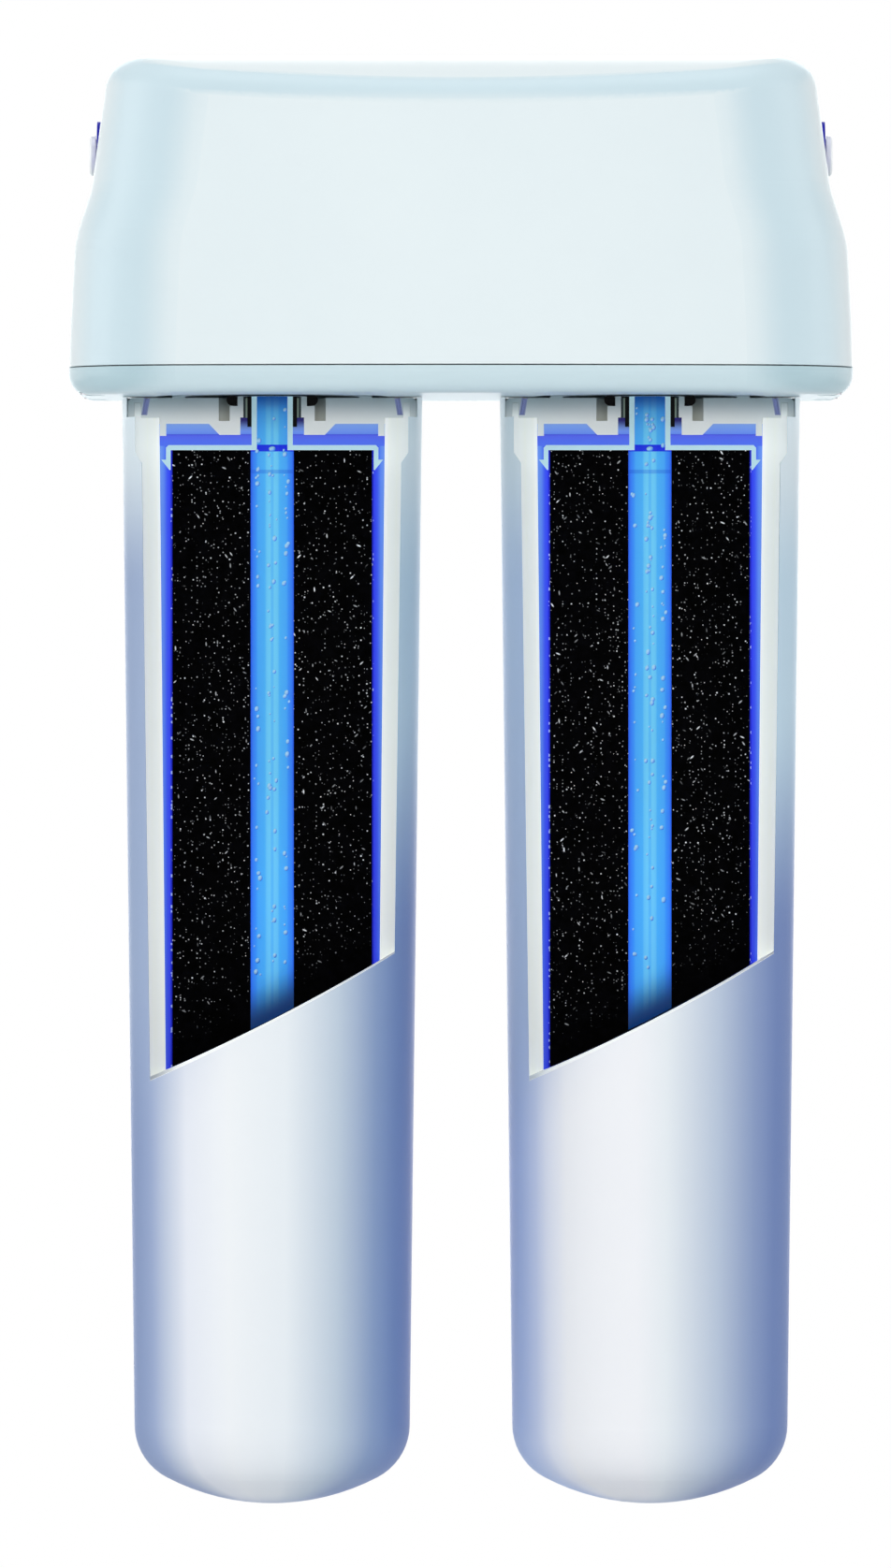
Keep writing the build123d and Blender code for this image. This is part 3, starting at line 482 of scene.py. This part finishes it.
def cap_material(side):
    """Cut cap: cream, with painted shade, greyer, under the head, blue beside its seal strip, and a
    painted glow, paler, in its groove.
    """
    surface, wall = section(f"{side}_cap_cream", srgb(243, 246, 243), srgb(232, 237, 235))
    drop, depth = surface.drop(), surface.depth()
    radius = surface.length(surface.across(side), depth)
    upright = surface.math("MULTIPLY_ADD", drop, -SEAM_LEAN / SEAM_DROP, radius)
    near_strip = surface.within(upright, SEAM_RADIUS - 0.3 * MM,
                                SEAM_RADIUS + SEAM_WIDTH + 0.3 * MM)
    beside = surface.times(near_strip, surface.math("LESS_THAN", drop, SEAM_DROP + 0.2 * MM))
    surface.colour(surface.layered(
        wall,
        # Painted shade under the head
        (surface.span(drop, 6.5 * MM, 0), srgb(154, 172, 178)),
        (surface.times(beside, 0.8), srgb(122, 132, 188)),
    ))
    # Painted glow in the groove
    groove = surface.times(surface.within(radius, *MOAT),
                           surface.math("GREATER_THAN", depth, 0.1 * MM))
    low_down = surface.span(drop, 1 * MM, 5.4 * MM)
    surface.painted_glow(surface.times(groove, low_down, 0.06))
    return surface.material


# The carbon's grains: their cells' scale, a grain's size as a share of a cell, and how rare
DOTS = ((1000, 0.20, 0.66), (680, 0.16, 0.66), (1500, 0.22, 0.66))
SLIVER = (540, 0.11, 0.64)
SLIVER_ANGLES = (0.95, -0.75, 1.5, 0.4)
SLIVER_STRETCH = (3.2, 1, 1)
GRAIN_EDGE = 2.2


def grain(surface, scale, size, rarity, vector=None):
    """Grains of one kind, brightest in their middles. Cells with a chance below the rarity have none."""
    distance, chance = surface.cells(scale, vector)
    near = surface.math("MULTIPLY_ADD", distance, -GRAIN_EDGE / size, GRAIN_EDGE)
    near.node.use_clamp = True
    rare = surface.math("MULTIPLY_ADD", chance, 1 / (1 - rarity), -rarity / (1 - rarity))
    rare.node.use_clamp = True
    return surface.times(near, surface.math("POWER", rare, 1.3))


def carbon_material(side):
    """Pressed black carbon with pale grains and slivers, which fade out above the window's edge as
    painted shade.
    """
    surface = Surface(f"{side}_carbon_black", 0.7, specular=0.02)
    base = surface.ramp(surface.noise(500, 4), [
        (0.35, srgb(0, 0, 0)),
        (0.8, srgb(5, 5, 7)),
    ])
    grains = [grain(surface, *kind) for kind in DOTS]
    grains += [grain(surface, *SLIVER, surface.turned(angle, SLIVER_STRETCH))
               for angle in SLIVER_ANGLES]
    found = grains[0]
    for other in grains[1:]:
        found = surface.math("MAXIMUM", found, other)
    # Painted shade: the grains fade out close above the window's edge
    shown = surface.times(found, surface.span(surface.above_edge(side), 4 * MM, 18 * MM))
    surface.colour(surface.mix(shown, base, srgb(250, 252, 253)))
    surface.roughness(shown, 0.7, 0.4)
    surface.bump(surface.noise(700, 4), 0.05 * MM, 0.5)
    return surface.material


def net_material():
    """Fine net round the block: pale knots on a dark blue ground."""
    surface = Surface("block_net_weave", 0.7, specular=0.2)
    distance, chance = surface.cells(900)
    knot = surface.times(surface.math("LESS_THAN", distance, 0.34),
                         surface.math("GREATER_THAN", chance, 0.5))
    surface.colour(surface.mix(knot, srgb(28, 40, 200), srgb(170, 190, 245)))
    surface.bump(distance, 0.05 * MM, 0.6)
    return surface.material


def core_material(side):
    """Water in the middle bore: bright blue, with a painted highlight down its middle, painted shade at
    its sides, near the head and at its foot, and a painted glow lower down.
    """
    surface = Surface(f"{side}_core_water", 0.12, specular=0.15)
    share = surface.math("DIVIDE", surface.math("ABSOLUTE", surface.across(side)), CORE_RADIUS)
    # Painted highlight down the middle, painted shade towards the sides
    painted_shading_across = surface.ramp(share, [
        (0.0, srgb(88, 191, 255)),
        (0.10, srgb(115, 213, 255)),
        (0.26, srgb(107, 207, 255)),
        (0.34, srgb(78, 185, 255)),
        (0.66, srgb(72, 173, 255)),
        (0.76, srgb(57, 149, 255)),
        (0.90, srgb(51, 128, 252)),
        (1.0, srgb(32, 87, 237)),
    ])
    # Painted shade in the neck, right under the head, and at the foot
    neck = surface.span(surface.z, below_head(9), below_head(-2))
    painted_rim_shade = surface.span(surface.z, below_head(4), HEAD_LOW)
    painted_foot_shade = surface.span(surface.above_edge(side), 12.5 * MM, 1.5 * MM)
    surface.colour(surface.layered(
        painted_shading_across,
        (surface.times(surface.within(surface.z, *RING), 0.4), srgb(24, 84, 224)),
        (surface.times(surface.within(surface.z, *BAND), 0.95), srgb(0, 6, 232)),
        (surface.times(neck, 0.8), srgb(0, 118, 207)),
        (surface.times(painted_rim_shade, 0.6), srgb(0, 36, 132)),
        (painted_foot_shade, srgb(0, 64, 132)),
    ))
    # Painted glow, blue, lower down above the foot
    low_down = surface.span(surface.z, below_head(80), below_head(135))
    above_foot = surface.math("SUBTRACT", 1, painted_foot_shade)
    surface.painted_glow(surface.times(low_down, above_foot, 0.16), srgb(0, 136, 255))
    surface.bump(surface.noise(160, 2), 0.12 * MM, 0.2)
    return surface.material


def jacket_material(side):
    """Water round the block: violet blue outside, deep blue against the net, with painted shade in its
    notch and in the gap beside the neck seal.
    """
    surface = Surface(f"{side}_jacket_water", 0.2, specular=0.25)
    radius = surface.length(surface.across(side), surface.depth())
    wall = surface.ramp(surface.span(radius, BLOCK_RADIUS, JACKET_RADIUS), [
        (0.0, srgb(26, 44, 250)),
        (0.40, srgb(52, 90, 255)),
        (0.75, srgb(92, 142, 255)),
        (1.0, srgb(112, 160, 255)),
    ])
    chamber = surface.ramp(surface.span(surface.z, below_head(11.4), below_head(6)), [
        (0.0, srgb(78, 116, 255)),
        (0.38, srgb(84, 104, 252)),
        (0.42, srgb(58, 72, 232)),
        (0.50, srgb(106, 150, 255)),
        (1.0, srgb(134, 176, 255)),
    ])
    # Painted shade in the gap round the neck seal, darker further out
    passage = surface.ramp(surface.span(radius, *NECK_PASSAGE), [
        (0.0, srgb(118, 136, 122)),
        (0.30, srgb(104, 122, 112)),
        (0.55, srgb(24, 42, 46)),
        (1.0, srgb(16, 34, 38)),
    ])
    over_block = surface.math("GREATER_THAN", surface.z, below_head(11.6))
    notch = surface.times(surface.math("LESS_THAN", radius, NOTCH_RADIUS),
                          surface.span(surface.z, below_head(8.4), below_head(5.4)))
    beside_seal = surface.math("GREATER_THAN", surface.z, HEAD_LOW - NOTCH_DROP)
    surface.colour(surface.layered(
        wall,
        (over_block, chamber),
        (notch, srgb(10, 4, 112)),
        (beside_seal, passage),
    ))
    surface.bump(surface.noise(140, 2), 0.12 * MM, 0.25)
    return surface.material


def drop_material():
    """Drops of water: glossy, with a painted highlight on the side turned up and left and painted shade
    on the other.
    """
    surface = Surface("water_drop", 0.12, coat=0.6, specular=0.8)
    to_side, _, to_top = surface.facing()
    painted_light_side = surface.span(surface.math("SUBTRACT", to_top, to_side), -0.7, 0.5)
    surface.colour(surface.mix(painted_light_side, srgb(58, 140, 246), srgb(170, 228, 255)))
    surface.roughness(surface.noise(900, 2), 0.08, 0.16)
    return surface.material


def screw_material():
    """Steel screws with a brushed face."""
    surface = Surface("screw_steel", 0.35)
    surface.shader.inputs["Metallic"].default_value = 1
    brushed = surface.noise(1400, 3, surface.turned(0, (1, 1, 0.1)))
    surface.colour(surface.mix(brushed, srgb(176, 178, 182), srgb(138, 140, 146)))
    surface.roughness(brushed, 0.25, 0.45)
    return surface.material


SEAL = moulded("seal_rubber", srgb(6, 6, 7), 0.5, grain=1500, tint=0.3, specular=0.1)
# The last colour of each is the painted shade at the head's corners and top edge
COVER = head_material("head_white", srgb(239, 248, 248), srgb(234, 244, 245), srgb(204, 226, 233))
BASE = head_material("base_white", srgb(212, 232, 236), srgb(208, 228, 233), srgb(178, 206, 213))
PLATE = moulded("plate_grey", srgb(196, 204, 208), 0.5)
VALVE = moulded("valve_grey", srgb(206, 210, 212), 0.48)
PORT = moulded("port_pale", srgb(248, 251, 250), 0.3, coat=0.1)
CLIP = moulded("clip_blue", srgb(6, 14, 180), 0.5, specular=0.12)
ICE = ice_material()
SEAM = moulded("cap_seam_blue", srgb(128, 138, 192), 0.5, tint=0.15)
NET = net_material()
STEEL = screw_material()
DROP = drop_material()


def dress(materials, prefix=""):
    """Give CAD nodes their materials, by the part of each name that follows the prefix."""
    for name, material in materials.items():
        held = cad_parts[prefix + name].data.materials
        held.clear()
        held.append(material)


dress({
    "head_cover": COVER,
    "head_base": BASE,
    "back_plate": PLATE,
    "crossover_tube": VALVE,
    "crossover_seals": SEAL,
    "valve_screws": STEEL,
    "cover_screws": STEEL,
    "plate_screws": STEEL,
})
for port in PORTS:
    dress({
        "fitting": PORT,
        "insert": PORT,
        "collet": PORT,
        "seal": SEAL,
        "clip": CLIP,
    }, f"{port}_")
for side in SIDES:
    dress({
        "valve_body": VALVE,
        "rotor": VALVE,
        "rotor_seal": SEAL,
        "vessel": vessel_material(side),
        "cap": cap_material(side),
        "top_end_cap": ICE,
        "bottom_end_cap": ICE,
        "carbon_block": carbon_material(side),
        "block_net": NET,
        "neck_seal": SEAL,
        "neck_rings": SEAL,
        "sleeve": sleeve_material(side),
        "water_core": core_material(side),
        "water_jacket": jacket_material(side),
    }, f"{side}_")


# Pieces made here

# The drops in each middle bore: their number, their radius in millimetres, the columns that
# they lie in as shares of the bore's radius, and how far they stray from those in millimetres
DROP_COUNT = 110
DROP_RADII = (0.2, 0.58)
DROP_COLUMNS = (-0.66, -0.1, 0.1, 0.64)
DROP_STRAY = 0.35
DROP_STRETCH = (1.0, 1.35)
DROP_FLATNESS = 0.35
DROP_HEIGHTS = (below_head(137), below_head(1))
# Above this height the bore is the narrow neck
NECK_LOW = below_head(12)
NECK_WATER_RADIUS = 3.6 * MM
# How far from the axis a drop's middle may lie, as a share of the bore's radius
DROP_REACH = 0.85
# Below 1, more of the drops lie high up
DROP_CROWDING = 0.8
# The flat bubble in the dark band, and its flatness from front to back and from top to bottom
BUBBLE_RADIUS = 0.85 * MM
BUBBLE_HEIGHT = below_head(12.3)
BUBBLE_FLATNESS = (0.4, 0.75)
# The seal strip stands a little clear of its groove's walls, and of the head
SEAM_GAP = 0.06 * MM
SEAM_TOP = below_head(0.5)
SEAM_STEPS = 48


def linked_mesh(name, bm, material):
    """Turn a bmesh into an object of one material."""
    mesh = bpy.data.meshes.new(name)
    bm.to_mesh(mesh)
    bm.free()
    mesh.materials.append(material)
    made = bpy.data.objects.new(name, mesh)
    bpy.context.scene.collection.objects.link(made)
    return made


def add_piece(name, bm, material, body, smooth):
    """Turn a bmesh into a piece that rides on a body."""
    piece = linked_mesh(name, bm, material)
    for face in piece.data.polygons:
        face.use_smooth = smooth
    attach(piece, body)


def add_drop(bm, place, radius, depth, height):
    """One drop: a ball pressed flat towards the cut face and drawn out along Z."""
    shape = Matrix.Translation(place) @ Matrix.Diagonal((1, depth, height, 1))
    bmesh.ops.create_icosphere(bm, subdivisions=2, radius=radius, matrix=shape)


def core_drops(side):
    """Drops on the cut face of the water in the middle bore, and a bubble in its dark band."""
    rng = random.Random(f"{side} drops")
    bm = bmesh.new()
    low, high = DROP_HEIGHTS
    for _ in range(DROP_COUNT):
        radius = rng.uniform(*DROP_RADII) * MM
        shift = rng.choice(DROP_COLUMNS) * CORE_RADIUS + rng.gauss(0, DROP_STRAY) * MM
        height = low + (high - low) * rng.random() ** DROP_CROWDING
        bore = NECK_WATER_RADIUS if height > NECK_LOW else CORE_RADIUS
        shift = max(-bore * DROP_REACH, min(bore * DROP_REACH, shift))
        place = Vector((AXIS_X[side] + shift, CUT_Y, height))
        add_drop(bm, place, radius, DROP_FLATNESS, rng.uniform(*DROP_STRETCH))
    add_drop(bm, Vector((AXIS_X[side], CUT_Y, BUBBLE_HEIGHT)), BUBBLE_RADIUS, *BUBBLE_FLATNESS)
    add_piece(f"{side}_core_drops", bm, DROP, f"{side}_cartridge", True)


def cap_seam(side):
    """Slanted seal strip in the cap's narrow groove, seen where the cap is cut."""
    bottom = HEAD_LOW - SEAM_DROP
    outline = [
        (SEAM_RADIUS + SEAM_GAP, SEAM_TOP),
        (SEAM_RADIUS + SEAM_WIDTH - SEAM_GAP, SEAM_TOP),
        (SEAM_RADIUS + SEAM_LEAN + SEAM_WIDTH - SEAM_GAP, bottom),
        (SEAM_RADIUS + SEAM_LEAN + SEAM_GAP, bottom),
    ]
    bm = bmesh.new()
    rings = []
    for i in range(SEAM_STEPS + 1):
        angle = math.pi * i / SEAM_STEPS
        rings.append([bm.verts.new((AXIS_X[side] + radius * math.cos(angle),
                                    CUT_Y + radius * math.sin(angle), height))
                      for radius, height in outline])
    for ring, following in zip(rings, rings[1:]):
        for i in range(len(outline)):
            bm.faces.new((ring[i], ring[i - 1], following[i - 1], following[i]))
    bm.faces.new(rings[0])
    bm.faces.new(reversed(rings[-1]))
    bmesh.ops.recalc_face_normals(bm, faces=bm.faces)
    add_piece(f"{side}_cap_seam", bm, SEAM, f"{side}_cartridge", False)


for side in SIDES:
    core_drops(side)
    cap_seam(side)


# Stage: floor, light, camera

WORLD_LEVEL = 0.34
LIGHT_AIM = Vector((0, CUT_Y, (HEAD_HIGH + SLEEVE_LOW) / 2))
# Soft lights: name, place, width and height, power, and whether it shows in a gloss
LIGHTS = (
    ("front", (0.0, -1.5, -0.14), (1.0, 1.2), 14.6, False),
    ("left", (-1.45, 0.15, 0.15), (0.7, 1.0), 6.2, True),
    ("right", (1.45, 0.15, 0.1), (0.7, 1.0), 4.5, True),
    ("top", (0.0, -0.1, 1.1), (1.2, 0.8), 6.0, True),
    ("back", (0.0, 1.5, 0.2), (1.2, 1.2), 9.0, True),
)
# The floor: its gap below the object, its half width, where its shadow fades out, its glow
CLEAR_BELOW = 30 * MM
FLOOR_REACH = 4.0
FLOOR_SHADE_FROM, FLOOR_SHADE_TO = 0.10, 0.32
FLOOR_GLOW = 0.36
# The photo's frame: metres per pixel, its size, and where the object's middle and the head's
# underside lie in it
PHOTO_SCALE = 0.2203 * MM
PHOTO_WIDTH, PHOTO_HEIGHT = 952, 1676
PHOTO_MIDDLE_X = 492.6
PHOTO_HEAD_BOTTOM = 424
SENSOR = 36
LENS = 400


def seen_directly(nodes, links):
    """1 for a ray of the camera, or one that a gloss or a clear piece sends on."""
    path = nodes.new("ShaderNodeLightPath")
    seen = path.outputs["Is Camera Ray"]
    for name in ("Is Glossy Ray", "Is Transmission Ray"):
        either = nodes.new("ShaderNodeMath")
        either.operation = "MAXIMUM"
        links.new(seen, either.inputs[0])
        links.new(path.outputs[name], either.inputs[1])
        seen = either.outputs[0]
    return seen


def mix_shaders(nodes, links, share, first, second):
    """Mix of two shaders: the first where the share is 0, the second where it is 1."""
    made = nodes.new("ShaderNodeMixShader")
    for source, socket in zip((share, first, second), made.inputs):
        links.new(source, socket)
    return made.outputs[0]


def make_floor():
    """Pale floor: plain white further out, and near the object it keeps the shadow."""
    surface = Surface("floor_white", 0.9, specular=0)
    surface.colour(surface.mix(surface.noise(3, 2), srgb(232, 233, 234), srgb(227, 228, 229)))
    nodes, links = surface.tree.nodes, surface.tree.links
    seen = seen_directly(nodes, links)
    glow = surface.node("ShaderNodeEmission", Color=WHITE, Strength=surface.times(seen, FLOOR_GLOW))
    near = nodes.new("ShaderNodeAddShader")
    links.new(surface.shader.outputs[0], near.inputs[0])
    links.new(glow.outputs[0], near.inputs[1])
    white = surface.node("ShaderNodeEmission", Color=WHITE, Strength=1.0)
    far = surface.span(surface.length(surface.x, surface.y), FLOOR_SHADE_FROM, FLOOR_SHADE_TO)
    from_above = mix_shaders(nodes, links, surface.times(far, seen), near.outputs[0],
                             white.outputs[0])
    underside = nodes.new("ShaderNodeNewGeometry").outputs["Backfacing"]
    clear = nodes.new("ShaderNodeBsdfTransparent").outputs[0]
    shown = mix_shaders(nodes, links, underside, from_above, clear)
    links.new(shown, nodes["Material Output"].inputs["Surface"])
    bm = bmesh.new()
    bmesh.ops.create_grid(bm, x_segments=2, y_segments=2, size=FLOOR_REACH)
    floor = linked_mesh("floor", bm, surface.material)
    floor.location.z = cad_box[0].z - CLEAR_BELOW


def make_world():
    """Even pale light all round; white where the camera, a gloss or a clear piece looks into it."""
    world = bpy.data.worlds.new("studio")
    world.use_nodes = True
    bpy.context.scene.world = world
    nodes, links = world.node_tree.nodes, world.node_tree.links
    light = nodes["Background"]
    light.inputs["Color"].default_value = srgb(238, 244, 252)
    light.inputs["Strength"].default_value = WORLD_LEVEL
    white = nodes.new("ShaderNodeBackground")
    white.inputs["Color"].default_value = WHITE
    white.inputs["Strength"].default_value = 1
    shown = mix_shaders(nodes, links, seen_directly(nodes, links), light.outputs[0],
                        white.outputs[0])
    links.new(shown, nodes["World Output"].inputs["Surface"])


def soft_light(name, place, size, power, shines):
    """A soft panel aimed at the object; one that doesn't shine leaves no gloss of its own."""
    data = bpy.data.lights.new(name, "AREA")
    data.shape = "RECTANGLE"
    data.size, data.size_y = size
    data.energy = power
    lamp = bpy.data.objects.new(name, data)
    lamp.location = place
    lamp.rotation_mode = "QUATERNION"
    lamp.rotation_quaternion = (LIGHT_AIM - Vector(place)).to_track_quat("-Z", "Y")
    lamp.visible_glossy = shines
    bpy.context.scene.collection.objects.link(lamp)


def make_camera():
    """Level camera in front, far enough away to see the object nearly without perspective."""
    data = bpy.data.cameras.new("camera")
    data.sensor_width = SENSOR
    data.lens = LENS
    distance = PHOTO_HEIGHT * PHOTO_SCALE * LENS / SENSOR
    data.clip_end = distance * 10
    camera = bpy.data.objects.new("camera", data)
    camera.location = (
        (PHOTO_WIDTH / 2 - PHOTO_MIDDLE_X) * PHOTO_SCALE,
        CUT_Y - distance,
        HEAD_LOW - (PHOTO_HEIGHT / 2 - PHOTO_HEAD_BOTTOM) * PHOTO_SCALE,
    )
    camera.rotation_euler = (math.radians(90), 0, 0)
    bpy.context.scene.collection.objects.link(camera)
    bpy.context.scene.camera = camera


make_floor()
make_world()
for light in LIGHTS:
    soft_light(*light)
make_camera()
bpy.context.scene.view_settings.view_transform = "Standard"
